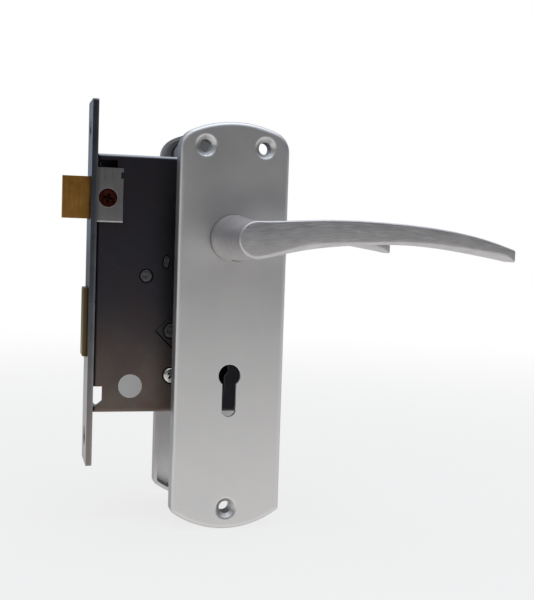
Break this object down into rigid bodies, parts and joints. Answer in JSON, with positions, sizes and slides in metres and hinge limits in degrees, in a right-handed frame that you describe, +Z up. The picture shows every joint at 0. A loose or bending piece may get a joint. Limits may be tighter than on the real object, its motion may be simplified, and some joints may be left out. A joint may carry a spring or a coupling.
{
  "type": "lever mortice sashlock with handles",
  "caption": "Mortice sashlock with a long forend, sprung latch and lever-guarded deadbolt, turned by curved lever handles on arched aluminium plates with keyholes.",
  "frame": {"origin": "the spindle's axis at the middle of the door's thickness", "axes": "+X from the forend towards the door's hinges, -Y out towards the near handle, +Z up"},
  "size_m": [0.1739, 0.15, 0.1785],
  "materials": {
    "forend_steel": "blued zinc-plated steel strip",
    "case_steel": "dark gunmetal finish on pressed steel",
    "bolt_brass": "dull bronze-toned brass",
    "lever_brass": "stamped sheet brass",
    "work_steel": "plain mild steel",
    "spring_steel": "oiled spring steel",
    "zinc_screw": "bright zinc plate",
    "bronzed_screw": "dark bronzed steel",
    "plate_aluminium": "satin anodised",
    "handle_aluminium": "brushed and anodised",
    "nylon": "natural nylon",
    "paper_label": "matt paper"
  },
  "bodies": {
    "lock_and_plates": {"forend": "forend_steel", "forend_rivets": "forend_steel", "forend_tab_screw": "bronzed_screw", "case_body": "case_steel", "case_cover": "case_steel", "upper_post": "work_steel", "lever_pivot_post": "work_steel", "rear_rivet": "work_steel", "spring_anchor": "work_steel", "case_pillar": "work_steel", "case_screw": "zinc_screw", "inspection_sticker": "paper_label", "latch_guide": "work_steel", "latch_spring": "spring_steel", "follower_spring": "spring_steel", "lever_spacer": "work_steel", "lever_spring_1": "spring_steel", "lever_spring_2": "spring_steel", "lever_spring_3": "spring_steel", "front_plate": "plate_aluminium", "front_bush": "nylon", "front_return_spring": "spring_steel", "rear_plate": "plate_aluminium", "rear_bush": "nylon", "rear_return_spring": "spring_steel"},
    "handles": {"front_handle": "handle_aluminium", "rear_handle": "handle_aluminium", "front_stop_washer": "work_steel", "rear_stop_washer": "work_steel", "front_spring_clip": "spring_steel", "rear_spring_clip": "spring_steel", "front_grub_screw": "spring_steel", "rear_grub_screw": "spring_steel", "spindle": "work_steel", "follower": "work_steel"},
    "latch": {"latch_head": "bolt_brass", "latch_tail": "work_steel", "latch_pin": "work_steel"},
    "deadbolt": {"deadbolt_head": "bolt_brass", "deadbolt_tail": "work_steel", "deadbolt_rivets": "work_steel"},
    "lever_1": {"detainer_lever_1": "lever_brass"},
    "lever_2": {"detainer_lever_2": "lever_brass"},
    "lever_3": {"detainer_lever_3": "lever_brass"}
  },
  "joints": [
    {"name": "handle_turn", "type": "hinge", "parent": "lock_and_plates", "child": "handles", "pos_m": [0, 0, 0], "axis": [0, 1, 0], "range_deg": [0, 40], "stiffness_Nm_per_rad": 0.9, "springref_deg": -28.65, "deforming": ["front_return_spring", "rear_return_spring", "follower_spring"]},
    {"name": "latch_slide", "type": "slide", "parent": "lock_and_plates", "child": "latch", "axis": [1, 0, 0], "range_m": [0, 0.0117], "deforming": ["latch_spring"]},
    {"name": "deadbolt_slide", "type": "slide", "parent": "lock_and_plates", "child": "deadbolt", "axis": [-1, 0, 0], "range_m": [0, 0.014]},
    {"name": "lever_lift_1", "type": "hinge", "parent": "lock_and_plates", "child": "lever_1", "pos_m": [-0.0215, 0, -0.0408], "axis": [0, -1, 0], "range_deg": [0, 6.02], "deforming": ["lever_spring_1"]},
    {"name": "lever_lift_2", "type": "hinge", "parent": "lock_and_plates", "child": "lever_2", "pos_m": [-0.0215, 0, -0.0408], "axis": [0, -1, 0], "range_deg": [0, 5.52], "deforming": ["lever_spring_2"]},
    {"name": "lever_lift_3", "type": "hinge", "parent": "lock_and_plates", "child": "lever_3", "pos_m": [-0.0215, 0, -0.0408], "axis": [0, -1, 0], "range_deg": [0, 6.52], "deforming": ["lever_spring_3"]}
  ],
  "couplings": [
    {"joint": "latch_slide", "follows": "handle_turn", "m_per_rad": 0.016755},
    {"joint": "lever_lift_1", "follows": "deadbolt_slide", "rad_per_m": 7.48},
    {"joint": "lever_lift_2", "follows": "deadbolt_slide", "rad_per_m": 6.8567},
    {"joint": "lever_lift_3", "follows": "deadbolt_slide", "rad_per_m": 8.1033}
  ]
}
